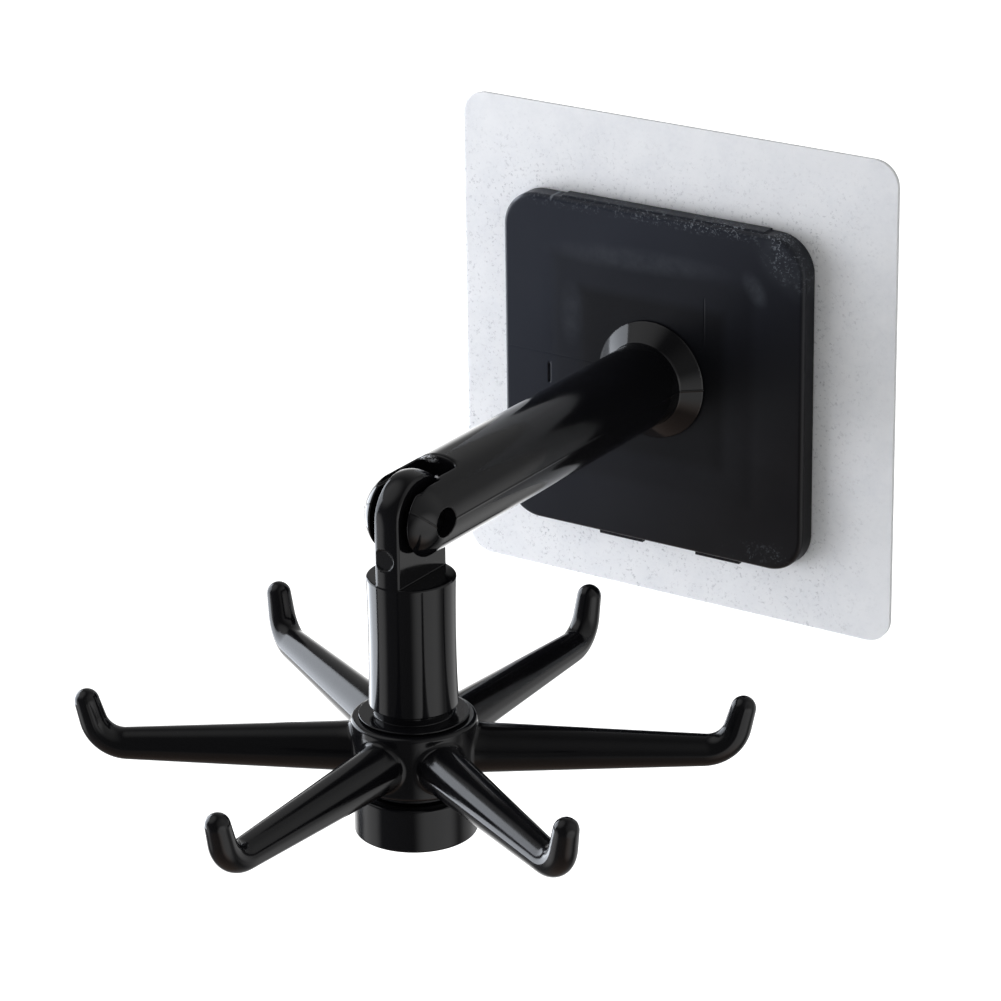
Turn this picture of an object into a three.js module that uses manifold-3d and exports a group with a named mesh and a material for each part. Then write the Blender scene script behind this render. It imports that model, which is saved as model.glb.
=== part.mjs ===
// A rotating closet hook: a square base on an adhesive sheet carries a short round arm, a column
// is pinned in the arm's forked end, and a star of six hooks turns on the column's lower end.
// Millimetres. The wall is the plane y = 0, the front looks along -y and z points up.
// The origin lies on the wall, straight behind the arm.
import * as THREE from 'three';
import { mergeVertices } from 'three/addons/utils/BufferGeometryUtils.js';
import Module from 'manifold-3d';

const wasm = await Module();
wasm.setup();

// Driving dimensions of the adhesive sheet, which was stuck on slightly off the base's centre
const sheetSide = 80;
const sheetCornerRadius = 4.2;
const adhesiveThickness = 0.5;
const filmThickness = 0.3;
const sheetShiftX = 2.1;
const sheetShiftZ = 1.8;

// Driving dimensions of the base, whose middle lies a little below the arm's axis
const baseSide = 55.9;
const baseDepth = 3.4;
const baseShiftX = -0.2;
const baseShiftZ = -0.4;
const baseCornerRadius = 6.2;
const baseEdgeRadius = 0.8;
const coverFrontWall = 1.6;
const coverSkirtWall = 1.5;
const ribWidth = 1;
const outerRibSide = 38.4;
const innerRibSide = 27.6;
const ribCornerRadius = 2;
const rearPlateThickness = 1.2;
const rearPlateFit = 0.25;
const ledgeLength = 37.6;
const ledgeHeight = 0.3;
const ledgeShift = 1.5;
const ledgeFrontInset = 0.9;
const latchWidth = 8.2;
const latchSpacing = 18.2;
const latchThickness = 0.5;
const latchRoot = 0.3;
const latchProud = 1;
const latchShift = 2.4;
const latchFit = 0.3;

// Driving dimensions of the arm
const armDiameter = 13.6;
const footDiameter = 19.8;
const footHeight = 3.2;
const footSeam = 0.2;
const journalDiameter = 11;
const journalFit = 0.3;
const journalEndPlay = 0.1;
const pinFromWall = 73;
const slotWidth = 6.6;
const slotBehindPin = 7.8;
const slotCornerRadius = 0.8;
const slotStepDepth = 0.6;
const slotStepHeight = 4.8;
const slotStepAhead = 3.6;
const slotStepBehind = 2.4;

// Driving dimensions of the hinge pin
const pinDiameter = 4.2;
const pinRecess = 2.1;
const pinFit = 0.15;

// Driving dimensions of the column
const columnDiameter = 13.6;
const columnWaist = 0.15;
const quarterWaistShare = 0.75;
const shoulderDrop = 9.6;
const columnLength = 20.9;
const tongueThickness = 4.1;
const tongueTopRadius = 6.9;
const tongueEdgeRadius = 0.5;
const ejectorMarkDiameter = 3.4;
const ejectorMarkDepth = 0.25;
const ejectorMarkDrop = 5.2;
const columnEdgeRadius = 0.35;
const grooveDiameter = 12;
const grooveHeight = 1.4;
const flangeDiameter = 16.8;
const flangeThickness = 0.3;
const shaftDiameter = 8;

// Driving dimensions of the hook star
const hubDiameter = 19.2;
const hubHeight = 10.3;
const hubEdgeRadius = 0.6;
const hookCount = 6;
const hookDrop = 5.35;
const hookRootDiameter = 8.5;
const hookBendDiameter = 5;
const hookTipDiameter = 3.9;
const hookBendStart = 43.8;
const hookBendRadius = 5.2;
const hookTipLength = 3.2;
const hookTurn = THREE.MathUtils.degToRad(75);
const hookRidge = 0.08;

// Driving dimensions of what closes the lower end
const runningFit = 0.25;
const spacerDiameter = 15;
const spacerThickness = 0.95;
const capDiameter = 18.9;
const capHeight = 7.05;
const capEdgeRadius = 0.4;
const capSocketDepth = 2.6;
const capWeb = 1.6;
const capRecessDiameter = 10.5;

// Driving dimensions of the screws and the washer
const screwShankDiameter = 2.9;
const screwPilotFit = 0.15;
const screwHoleFit = 0.35;
const screwHeadDiameter = 6.8;
const armScrewHeadHeight = 1.05;
const armScrewLength = 10;
const capScrewHeadHeight = 2.2;
const capScrewLength = 11;
const crossSlotWidth = 0.9;
const crossSlotLength = 3.8;
const crossSlotDepth = 0.7;
const washerDiameter = 16;
const washerThickness = 0.4;
const washerHoleFit = 0.3;
const washerWindowFit = 0.7;

// Spare length that lets a cutter run out of the piece that it cuts
const overrun = 1;

// How finely the round shapes are divided
const roundSegments = 48;
const smallSegments = 24;
const edgeSteps = 4;
const domeSteps = 10;
const hookSides = 16;
const bendSteps = 9;
const tipSteps = 4;

// Places along y, from the wall outwards
const filmBack = -adhesiveThickness;
const filmFront = filmBack - filmThickness;
const coverFront = filmFront - baseDepth;
const coverInside = coverFront + coverFrontWall;
const rearPlateFront = filmFront - rearPlateThickness;
const footBack = coverFront - footSeam;
const armStart = footBack - footHeight;
const journalEnd = coverInside + journalEndPlay;
const washerBack = journalEnd + washerThickness;
const slotEnd = -pinFromWall + slotBehindPin;

// Places along z, from the arm's axis downwards
const shoulder = -shoulderDrop;
const grooveTop = shoulder - columnLength;
const flangeTop = grooveTop - grooveHeight;
const flangeBottom = flangeTop - flangeThickness;
const hubTop = flangeBottom - runningFit;
const hubBottom = hubTop - hubHeight;
const hookLevel = hubTop - hookDrop;
const spacerTop = hubBottom - runningFit;
const spacerBottom = spacerTop - spacerThickness;
const capTop = spacerBottom - runningFit;
const capBottom = capTop - capHeight;
const shaftEnd = capTop - capSocketDepth;
const capSeat = capTop - capSocketDepth - capWeb;

// Materials
const finish = (color, roughness, metalness = 0) =>
  new THREE.MeshStandardMaterial({ color, roughness, metalness });
const clearAdhesive = finish(0xe6e9ec, 0.35);
const frostedFilm = finish(0xdfe2e6, 0.6);
const satinBlack = finish(0x24262b, 0.42);
const glossBlack = finish(0x101113, 0.16);
const steel = finish(0xb4b6ba, 0.3, 1);
const nylon = finish(0x17181a, 0.5);

// A closed geometry becomes a solid once its shared vertices are merged
function solid(geometry) {
  const plain = geometry.clone();
  plain.deleteAttribute('normal');
  plain.deleteAttribute('uv');
  const merged = mergeVertices(plain);
  return new wasm.Manifold(new wasm.Mesh({
    numProp: 3,
    vertProperties: new Float32Array(merged.attributes.position.array),
    triVerts: new Uint32Array(merged.index.array),
  }));
}

function union(first, ...others) {
  return others.reduce((sum, piece) => sum.add(piece), first);
}

function cut(body, ...cutters) {
  return cutters.reduce((rest, cutter) => rest.subtract(cutter), body);
}

function toGeometry(body) {
  const data = body.getMesh();
  const geometry = new THREE.BufferGeometry();
  const positions = new Float32Array(data.vertProperties);
  geometry.setAttribute('position', new THREE.BufferAttribute(positions, data.numProp));
  geometry.setIndex(new THREE.BufferAttribute(new Uint32Array(data.triVerts), 1));
  return geometry;
}

// Every sub-part is one named mesh
function piece(name, body, material) {
  const mesh = new THREE.Mesh(toGeometry(body), material);
  mesh.geometry.computeVertexNormals();
  mesh.name = name;
  return mesh;
}

// A square with round corners, centred on zero
function roundedSquare(width, height, radius) {
  const x = width / 2;
  const y = height / 2;
  const shape = new THREE.Shape();
  shape.moveTo(x - radius, -y);
  shape.absarc(x - radius, -y + radius, radius, -Math.PI / 2, 0);
  shape.absarc(x - radius, y - radius, radius, 0, Math.PI / 2);
  shape.absarc(-x + radius, y - radius, radius, Math.PI / 2, Math.PI);
  shape.absarc(-x + radius, -y + radius, radius, Math.PI, 1.5 * Math.PI);
  return shape;
}

// Extrudes an outline drawn in x and z from one y to another, the rear one first.
// With an edge radius the front rim is round, and so is the rear rim, which lies past the rear.
function slab(shape, rear, front, options = {}) {
  const { edge = 0, centreX = 0, centreZ = 0 } = options;
  const geometry = new THREE.ExtrudeGeometry(shape, {
    depth: rear - front,
    bevelEnabled: edge > 0,
    bevelThickness: edge,
    bevelSize: edge,
    bevelOffset: -edge,
    bevelSegments: edgeSteps,
    curveSegments: edgeSteps * 2,
  });
  geometry.rotateX(Math.PI / 2);
  geometry.translate(centreX, rear + edge, centreZ);
  return solid(geometry);
}

function box(x0, x1, y0, y1, z0, z1) {
  const geometry = new THREE.BoxGeometry(x1 - x0, y1 - y0, z1 - z0);
  geometry.translate((x0 + x1) / 2, (y0 + y1) / 2, (z0 + z1) / 2);
  return solid(geometry);
}

// Turns an outline of [radius, height] points about the z axis
function turned(points, segments = roundSegments) {
  const outline = points.map(([radius, height]) => new THREE.Vector2(radius, height));
  return new THREE.LatheGeometry(outline, segments).rotateX(Math.PI / 2);
}

// The same outline turned about the y axis, with its heights along y
function turnedAlongY(points, segments = roundSegments) {
  const outline = points.map(([radius, height]) => new THREE.Vector2(radius, height));
  return new THREE.LatheGeometry(outline, segments);
}

// Points of a round edge, in a quarter turn from one direction to the next
function roundEdge(centreRadius, centreHeight, edge, start, end, steps = edgeSteps) {
  const points = [];
  for (let i = 0; i <= steps; i += 1) {
    const angle = THREE.MathUtils.lerp(start, end, i / steps);
    points.push([centreRadius + edge * Math.cos(angle), centreHeight + edge * Math.sin(angle)]);
  }
  return points;
}

// The outline of a plain round bar from its lower end to its upper end
function barOutline(diameter, low, high) {
  const radius = diameter / 2;
  return [[0, low], [radius, low], [radius, high], [0, high]];
}

function barAlongY(diameter, low, high, segments = roundSegments) {
  return solid(turnedAlongY(barOutline(diameter, low, high), segments));
}

function barAlongZ(diameter, low, high, segments = roundSegments) {
  return solid(turned(barOutline(diameter, low, high), segments));
}

// A round bar that lies along x through the hinge, centred on the arm
function barAlongX(diameter, length, segments = smallSegments) {
  const geometry = new THREE.CylinderGeometry(diameter / 2, diameter / 2, length, segments);
  geometry.rotateZ(Math.PI / 2);
  geometry.translate(0, -pinFromWall, 0);
  return solid(geometry);
}

// Adhesive sheet: a clear sticky layer on the wall, and the frosted film that carries it
function sheetLayer(rear, front) {
  const outline = roundedSquare(sheetSide, sheetSide, sheetCornerRadius);
  return slab(outline, rear, front, { centreX: sheetShiftX, centreZ: sheetShiftZ });
}

// A square rib behind the cover's front wall
function rib(side) {
  const inner = side - 2 * ribWidth;
  const outside = roundedSquare(side, side, ribCornerRadius);
  const inside = roundedSquare(inner, inner, ribCornerRadius / 2);
  const from = rearPlateFront;
  const to = coverInside - overrun / 2;
  return cut(slab(outside, from, to), slab(inside, from + overrun, to - overrun));
}

// Base cover: a shallow shell with a ledge along its top and two windows in its lower skirt
function baseCover() {
  const half = baseSide / 2;
  const outline = roundedSquare(baseSide, baseSide, baseCornerRadius);
  const insideSide = baseSide - 2 * coverSkirtWall;
  const insideRadius = baseCornerRadius - coverSkirtWall;
  const inside = roundedSquare(insideSide, insideSide, insideRadius);
  const behind = box(-baseSide, baseSide, filmFront, filmFront + baseDepth, -baseSide, baseSide);
  const shell = cut(
    slab(outline, filmFront, coverFront, { edge: baseEdgeRadius }),
    slab(inside, filmFront + overrun, coverInside),
    behind,
  );
  const ledge = box(
    ledgeShift - ledgeLength / 2, ledgeShift + ledgeLength / 2,
    coverFront + ledgeFrontInset, filmFront,
    half - coverSkirtWall / 2, half + ledgeHeight,
  );
  const windows = latchPlaces().map((x) => box(
    x - latchWidth / 2 - latchFit, x + latchWidth / 2 + latchFit,
    rearPlateFront - latchThickness - latchFit, rearPlateFront + latchRoot + latchFit,
    -half - overrun, -half + coverSkirtWall + overrun,
  ));
  const body = union(shell, ledge, rib(outerRibSide), rib(innerRibSide));
  const armHole = barAlongY(journalDiameter + 2 * journalFit, coverFront - overrun, filmFront);
  return cut(cut(body, ...windows).translate([baseShiftX, 0, baseShiftZ]), armHole);
}

function latchPlaces() {
  return [latchShift - latchSpacing / 2, latchShift + latchSpacing / 2];
}

// Rear plate: glued to the film, holds the cover by two latches that show through the windows
function baseRearPlate() {
  const side = baseSide - 2 * (coverSkirtWall + rearPlateFit);
  const radius = baseCornerRadius - coverSkirtWall - rearPlateFit;
  const plate = slab(roundedSquare(side, side, radius), filmFront, rearPlateFront);
  const window = barAlongY(
    screwHeadDiameter + 2 * washerWindowFit, rearPlateFront - overrun, filmFront + overrun,
  );
  const latches = latchPlaces().map((x) => box(
    x - latchWidth / 2, x + latchWidth / 2,
    rearPlateFront - latchThickness, rearPlateFront + latchRoot,
    -baseSide / 2 - latchProud, -side / 2 + coverSkirtWall,
  ));
  return cut(union(plate, ...latches).translate([baseShiftX, 0, baseShiftZ]), window);
}

// Arm: one moulding of journal, conical foot, round bar and forked end
function arm() {
  const radius = armDiameter / 2;
  const outline = [
    [0, journalEnd],
    [journalDiameter / 2, journalEnd],
    [journalDiameter / 2, footBack],
    [footDiameter / 2, footBack],
    [radius, armStart],
    ...roundEdge(0, -pinFromWall, radius, 0, -Math.PI / 2, domeSteps),
  ];
  outline[outline.length - 1][0] = 0;
  const bar = solid(turnedAlongY([...outline].reverse()));
  return cut(bar, forkSlot(), slotStep(), pinBore(armDiameter), armPilot());
}

// The slot is open above, below and at the end, with its inner corners rounded
function forkSlot() {
  const reach = slotBehindPin + armDiameter;
  const shape = roundedSquare(slotWidth, reach * 2, slotCornerRadius);
  const geometry = new THREE.ExtrudeGeometry(shape, {
    depth: armDiameter + 2 * overrun,
    bevelEnabled: false,
    curveSegments: edgeSteps,
  });
  geometry.translate(0, slotEnd - reach, -armDiameter / 2 - overrun);
  return solid(geometry);
}

// The upper part of the slot is a little wider beside the tongue
function slotStep() {
  const half = slotWidth / 2 + slotStepDepth;
  return box(
    -half, half,
    -pinFromWall - slotStepAhead, -pinFromWall + slotStepBehind,
    slotStepHeight, armDiameter,
  );
}

function pinBore(length) {
  return barAlongX(pinDiameter + 2 * pinFit, length + 2 * overrun);
}

// The hole that the arm's screw cuts its thread in
function armPilot() {
  const depth = armScrewLength - washerThickness + overrun;
  const diameter = screwShankDiameter + 2 * screwPilotFit;
  return barAlongY(diameter, journalEnd - depth, journalEnd + overrun, smallSegments);
}

// A washer of steel or nylon, with its faces square to the z axis
function ring(outerDiameter, holeDiameter, z0, z1) {
  const hole = barAlongZ(holeDiameter, z0 - overrun, z1 + overrun);
  return cut(barAlongZ(outerDiameter, z0, z1), hole);
}

// Screw: a low head with a cross recess, seated at z = 0 with its shank pointing up
function screw(headHeight, length) {
  const shank = screwShankDiameter / 2;
  const head = screwHeadDiameter / 2;
  const edge = headHeight / 2;
  const outline = [
    [0, -headHeight],
    ...roundEdge(head - edge, -headHeight + edge, edge, -Math.PI / 2, 0),
    [head, 0],
    [shank, 0],
    [shank, length - screwShankDiameter],
    [0, length],
  ];
  const across = crossSlotLength / 2;
  const narrow = crossSlotWidth / 2;
  const floor = -headHeight + crossSlotDepth;
  const under = -headHeight - overrun;
  return cut(
    solid(turned(outline, smallSegments)),
    box(-across, across, -narrow, narrow, under, floor),
    box(-narrow, narrow, -across, across, under, floor),
  );
}

// Column: a tongue in the fork, a round body with a slight waist, a groove, a flange and a shaft
function column() {
  const radius = columnDiameter / 2;
  const edge = columnEdgeRadius;
  const middle = shoulder - columnLength / 2;
  const quarter = columnLength / 4;
  const outline = [
    [0, shaftEnd],
    [shaftDiameter / 2, shaftEnd],
    [shaftDiameter / 2, flangeBottom],
    [flangeDiameter / 2, flangeBottom],
    [flangeDiameter / 2, flangeTop],
    [grooveDiameter / 2, flangeTop],
    [grooveDiameter / 2, grooveTop],
    ...roundEdge(radius - edge, grooveTop + edge, edge, -Math.PI / 2, 0),
    [radius - quarterWaistShare * columnWaist, middle - quarter],
    [radius - columnWaist, middle],
    [radius - quarterWaistShare * columnWaist, middle + quarter],
    [radius, shoulder],
    [0, shoulder],
  ];
  const body = solid(turned(outline));
  const whole = union(body, tongue()).translate([0, -pinFromWall, 0]);
  return cut(whole, pinBore(tongueThickness), ejectorMark(), shaftPilot());
}

// Tongue: a plate rounded about the pin, with its narrow faces flush with the column
function tongue() {
  const half = tongueThickness / 2;
  const shape = new THREE.Shape();
  shape.moveTo(-tongueTopRadius, shoulder - overrun);
  shape.lineTo(tongueTopRadius, shoulder - overrun);
  shape.absarc(0, 0, tongueTopRadius, 0, Math.PI);
  const geometry = new THREE.ExtrudeGeometry(shape, {
    depth: tongueThickness - 2 * tongueEdgeRadius,
    bevelEnabled: true,
    bevelThickness: tongueEdgeRadius,
    bevelSize: tongueEdgeRadius,
    bevelOffset: -tongueEdgeRadius,
    bevelSegments: edgeSteps / 2,
    curveSegments: smallSegments,
  });
  geometry.rotateX(Math.PI / 2);
  geometry.rotateZ(Math.PI / 2);
  geometry.translate(-half + tongueEdgeRadius, 0, 0);
  const envelope = barAlongZ(columnDiameter, shoulder - overrun / 2, tongueTopRadius + overrun);
  return solid(geometry).intersect(envelope);
}

// The round mark of the mould's ejector, sunk into the tongue's front face
function ejectorMark() {
  const front = -pinFromWall - columnDiameter / 2;
  const floor = front + ejectorMarkDepth;
  const disc = barAlongY(ejectorMarkDiameter, front - overrun, floor, smallSegments);
  return disc.translate([0, 0, -ejectorMarkDrop]);
}

function shaftPilot() {
  const diameter = screwShankDiameter + 2 * screwPilotFit;
  const top = capSeat + capScrewLength + overrun;
  const pilot = barAlongZ(diameter, shaftEnd - overrun, top, smallSegments);
  return pilot.translate([0, -pinFromWall, 0]);
}

// The centre line of one hook, in its own plane of radius and height
class HookLine extends THREE.Curve {
  getPoint(share, target = new THREE.Vector3()) {
    const [radius, height] = hookPlace(share);
    return target.set(radius, 0, height);
  }
}

const hookLengths = [hookBendStart, hookBendRadius * hookTurn, hookTipLength];
const hookLength = hookLengths.reduce((sum, part) => sum + part, 0);

function hookPlace(share) {
  const along = share * hookLength;
  const turn = THREE.MathUtils.clamp((along - hookBendStart) / hookBendRadius, 0, hookTurn);
  const past = Math.max(0, along - hookBendStart - hookLengths[1]);
  const straight = Math.min(along, hookBendStart);
  return [
    straight + hookBendRadius * Math.sin(turn) + past * Math.cos(hookTurn),
    hookBendRadius * (1 - Math.cos(turn)) + past * Math.sin(hookTurn),
  ];
}

function hookRadius(share) {
  const along = share * hookLength;
  if (along < hookBendStart) {
    return THREE.MathUtils.lerp(hookRootDiameter, hookBendDiameter, along / hookBendStart) / 2;
  }
  const rest = (along - hookBendStart) / (hookLength - hookBendStart);
  return THREE.MathUtils.lerp(hookBendDiameter, hookTipDiameter, rest) / 2;
}

// One hook: round rings along the centre line, closed by a round tip, with a fine parting
// ridge along both sides
function hook() {
  const line = new HookLine();
  const rings = hookRings();
  const positions = [];
  rings.forEach(({ share, radius, beyond }) => {
    const centre = line.getPoint(share);
    const tangent = line.getTangent(share);
    centre.addScaledVector(tangent, beyond);
    const lift = new THREE.Vector3(-tangent.z, 0, tangent.x);
    for (let i = 0; i < hookSides; i += 1) {
      const angle = (i / hookSides) * 2 * Math.PI;
      const onSide = i % (hookSides / 2) === 0 ? hookRidge : 0;
      const reach = radius + Math.min(onSide, radius / 2);
      positions.push(
        centre.x + lift.x * radius * Math.sin(angle),
        reach * Math.cos(angle),
        centre.z + lift.z * radius * Math.sin(angle),
      );
    }
  });
  const indices = [];
  for (let r = 0; r + 1 < rings.length; r += 1) {
    for (let i = 0; i < hookSides; i += 1) {
      const next = (i + 1) % hookSides;
      const [a, b] = [r * hookSides + i, r * hookSides + next];
      const [c, d] = [a + hookSides, b + hookSides];
      indices.push(a, b, c, b, d, c);
    }
  }
  closeRing(indices, positions, line.getPoint(0), 0, false);
  const end = line.getPoint(1).addScaledVector(line.getTangent(1), hookTipDiameter / 2);
  closeRing(indices, positions, end, (rings.length - 1) * hookSides, true);
  const geometry = new THREE.BufferGeometry();
  geometry.setAttribute('position', new THREE.Float32BufferAttribute(positions, 3));
  geometry.setIndex(indices);
  return solid(geometry);
}

// Where the rings lie: few along the straight, more in the bend, and closing ones at the tip
function hookRings() {
  const rings = [];
  const bendShare = hookBendStart / hookLength;
  const at = (share) => rings.push({ share, radius: hookRadius(share), beyond: 0 });
  at(0);
  at(bendShare / 2);
  for (let i = 0; i <= bendSteps; i += 1) {
    at(THREE.MathUtils.lerp(bendShare, 1, i / bendSteps));
  }
  const tip = hookTipDiameter / 2;
  for (let i = 1; i < tipSteps; i += 1) {
    const angle = (i / tipSteps) * (Math.PI / 2);
    rings.push({ share: 1, radius: tip * Math.cos(angle), beyond: tip * Math.sin(angle) });
  }
  return rings;
}

function closeRing(indices, positions, centre, first, outwards) {
  const middle = positions.length / 3;
  positions.push(centre.x, centre.y, centre.z);
  for (let i = 0; i < hookSides; i += 1) {
    const [a, b] = [first + i, first + ((i + 1) % hookSides)];
    indices.push(...(outwards ? [a, b, middle] : [b, a, middle]));
  }
}

// Hook star: one moulding of a hub and six hooks, bored for the shaft
function hookStar() {
  const radius = hubDiameter / 2;
  const edge = hubEdgeRadius;
  const outline = [
    [0, hubBottom],
    ...roundEdge(radius - edge, hubBottom + edge, edge, -Math.PI / 2, 0),
    ...roundEdge(radius - edge, hubTop - edge, edge, 0, Math.PI / 2),
    [0, hubTop],
  ];
  const hooks = [];
  for (let i = 0; i < hookCount; i += 1) {
    hooks.push(hook().translate([0, 0, hookLevel]).rotate([0, 0, hookAngle(i)]));
  }
  const bore = barAlongZ(shaftDiameter + 2 * runningFit, hubBottom - overrun, hubTop + overrun);
  return cut(union(solid(turned(outline)), ...hooks), bore).translate([0, -pinFromWall, 0]);
}

// At rest one hook points straight away from the wall
function hookAngle(index) {
  return -90 + (360 / hookCount) * index;
}

// End cap: a knob with a socket for the shaft above and a recess for the screw below
function endCap() {
  const radius = capDiameter / 2;
  const edge = capEdgeRadius;
  const outline = [
    [0, capBottom],
    ...roundEdge(radius - edge, capBottom + edge, edge, -Math.PI / 2, 0),
    ...roundEdge(radius - edge, capTop - edge, edge, 0, Math.PI / 2),
    [0, capTop],
  ];
  const socket = barAlongZ(
    shaftDiameter + 2 * runningFit, capTop - capSocketDepth, capTop + overrun,
  );
  const recess = barAlongZ(capRecessDiameter, capBottom - overrun, capSeat);
  const hole = barAlongZ(screwShankDiameter + 2 * screwHoleFit, capBottom, capTop, smallSegments);
  return cut(solid(turned(outline)), socket, recess, hole).translate([0, -pinFromWall, 0]);
}

// What stays on the wall
const fixedBase = new THREE.Group();
fixedBase.add(piece('adhesive_layer', sheetLayer(0, filmBack), clearAdhesive));
fixedBase.add(piece('carrier_film', sheetLayer(filmBack, filmFront), frostedFilm));
fixedBase.add(piece('base_rear_plate', baseRearPlate(), satinBlack));
fixedBase.add(piece('base_cover', baseCover(), satinBlack));

// What turns about the arm's axis: the arm, the washer and screw behind it, and the hinge pin
const armGroup = new THREE.Group();
const washerHole = screwShankDiameter + 2 * washerHoleFit;
const armWasher = ring(washerDiameter, washerHole, 0, washerThickness).rotate([-90, 0, 0]);
const armScrew = screw(armScrewHeadHeight, armScrewLength).rotate([90, 0, 0]);
const hingePin = barAlongX(pinDiameter, armDiameter - 2 * pinRecess);
armGroup.add(piece('arm', arm(), glossBlack));
armGroup.add(piece('arm_washer', armWasher.translate([0, journalEnd, 0]), steel));
armGroup.add(piece('arm_screw', armScrew.translate([0, washerBack, 0]), steel));
armGroup.add(piece('hinge_pin', hingePin, steel));

// What folds about the hinge pin. The screw clamps the cap against the end of the shaft, so that
// the star and the spacer keep their running clearances.
const columnGroup = new THREE.Group();
const spacerHole = shaftDiameter + 2 * runningFit;
const spacer = ring(spacerDiameter, spacerHole, spacerBottom, spacerTop);
const capScrew = screw(capScrewHeadHeight, capScrewLength);
columnGroup.add(piece('column', column(), glossBlack));
columnGroup.add(piece('spacer_washer', spacer.translate([0, -pinFromWall, 0]), nylon));
columnGroup.add(piece('end_cap', endCap(), glossBlack));
columnGroup.add(piece('cap_screw', capScrew.translate([0, -pinFromWall, capSeat]), steel));

// What spins on the column's shaft
const starGroup = new THREE.Group();
starGroup.add(piece('hook_star', hookStar(), glossBlack));

columnGroup.add(starGroup);
armGroup.add(columnGroup);
const closetHook = new THREE.Group();
closetHook.add(fixedBase, armGroup);

export default closetHook;
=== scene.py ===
import math

import bpy
import numpy as np
from mathutils import Matrix, Vector


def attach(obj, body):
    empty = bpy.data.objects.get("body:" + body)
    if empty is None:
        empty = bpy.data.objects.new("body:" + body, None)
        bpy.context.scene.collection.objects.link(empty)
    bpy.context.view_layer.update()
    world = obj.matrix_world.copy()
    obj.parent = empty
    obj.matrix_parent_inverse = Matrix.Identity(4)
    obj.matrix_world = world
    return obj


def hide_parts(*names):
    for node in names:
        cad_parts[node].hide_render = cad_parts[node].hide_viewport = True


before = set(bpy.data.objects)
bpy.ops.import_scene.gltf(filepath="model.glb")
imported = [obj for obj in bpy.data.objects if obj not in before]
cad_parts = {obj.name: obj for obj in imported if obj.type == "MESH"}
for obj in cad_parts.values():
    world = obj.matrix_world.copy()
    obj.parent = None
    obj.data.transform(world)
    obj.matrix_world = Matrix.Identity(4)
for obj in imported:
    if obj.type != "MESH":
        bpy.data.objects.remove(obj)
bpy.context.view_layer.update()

# Camera: it stands in front of the hook, to its right and a little above it, with a long lens.
# Its place and lens come from a perspective fit to the edges of the sheet, base, arm and column.
camera_data = bpy.data.cameras.new("photo_camera")
camera_data.sensor_width = 36
camera_data.lens = 162.46
camera_data.clip_start = 0.01
camera_data.clip_end = 50
camera = bpy.data.objects.new("photo_camera", camera_data)
to_the_right, downwards, roll = (math.radians(angle) for angle in (33.49, 21.45, -0.77))
camera.matrix_world = (
    Matrix.Translation((0.35507, -0.58521, 0.24682))
    @ Matrix.Rotation(to_the_right, 4, "Z")
    @ Matrix.Rotation(math.pi / 2 - downwards, 4, "X")
    @ Matrix.Rotation(roll, 4, "Z")
)
bpy.context.scene.collection.objects.link(camera)
bpy.context.scene.camera = camera
bpy.context.scene.view_settings.view_transform = "Standard"


# Studio: a white room with a pale floor well below the hook. A large soft box close by on the
# left draws the long highlights, and the gloss also mirrors soft patches of light round the
# room. The photographer's side is dark.
def add(tree, kind, inputs=None, **settings):
    """Adds a node with its settings. An input is a value, a socket, or a node that feeds it."""
    node = tree.nodes.new(kind)
    for name, value in settings.items():
        setattr(node, name, value)
    for name, value in (inputs or {}).items():
        if isinstance(value, bpy.types.Node):
            value = next(output for output in value.outputs if output.enabled)
        if isinstance(value, bpy.types.NodeSocket):
            tree.links.new(value, node.inputs[name])
        else:
            node.inputs[name].default_value = value
    return node


def linear(hex_colour):
    """An sRGB hex value as a linear colour."""
    parts = [int(hex_colour[i:i + 2], 16) / 255 for i in (1, 3, 5)]
    return [p / 12.92 if p <= 0.04045 else ((p + 0.055) / 1.055) ** 2.4 for p in parts] + [1]


def blank_tree(owner):
    """The node tree of a world or a material, with nothing in it."""
    owner.use_nodes = True
    owner.node_tree.nodes.clear()
    return owner.node_tree


def glow(tree, toward, full_within, none_beyond, strength):
    """A soft patch of light round one direction, which fades between two angles."""
    way = add(tree, "ShaderNodeTexCoord").outputs["Generated"]
    facing = add(tree, "ShaderNodeVectorMath", {0: way, 1: toward}, operation="DOT_PRODUCT")
    return add(tree, "ShaderNodeMapRange", {
        "Value": facing,
        "From Min": math.cos(math.radians(none_beyond)),
        "From Max": math.cos(math.radians(full_within)),
        "To Min": 0, "To Max": strength,
    }, interpolation_type="SMOOTHSTEP")


world = bpy.data.worlds.new("white_room")
bpy.context.scene.world = world
room = blank_tree(world)
TABLE = (0.05, -0.25, -0.97)
mirrored = 0.14  # what the gloss mirrors where there is no patch
for toward, full_within, none_beyond, strength in (
        ((-0.64, 0.67, -0.366), 12, 38, 1.7),  # bright background, low on the left
        ((-0.80, -0.47, -0.37), 10, 26, 1.5),  # lit end of the table, on the left
        ((0.921, -0.25, -0.366), 12, 42, 1.75),  # white card, low on the right
        ((0.90, -0.05, 0.43), 20, 60, 0.6),  # wall on the right
        ((-0.55, -0.30, 0.78), 8, 40, 1.2),  # ceiling above the soft box
        ((0.45, 0.80, 0.40), 10, 75, 0.42),  # wall behind
        ((-0.514, 0.776, 0.366), 10, 45, 0.2),  # left part of that wall
        ((-0.1, 0.75, -0.65), 8, 35, 0.25),  # foot of that wall
        ((0.4, 0.83, -0.38), 8, 32, 0.7),  # foot of that wall, on the right
        (TABLE, 15, 55, 0.25)):
    patch = glow(room, toward, full_within, none_beyond, strength)
    mirrored = add(room, "ShaderNodeMath", {0: mirrored, 1: patch}, operation="ADD")

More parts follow.
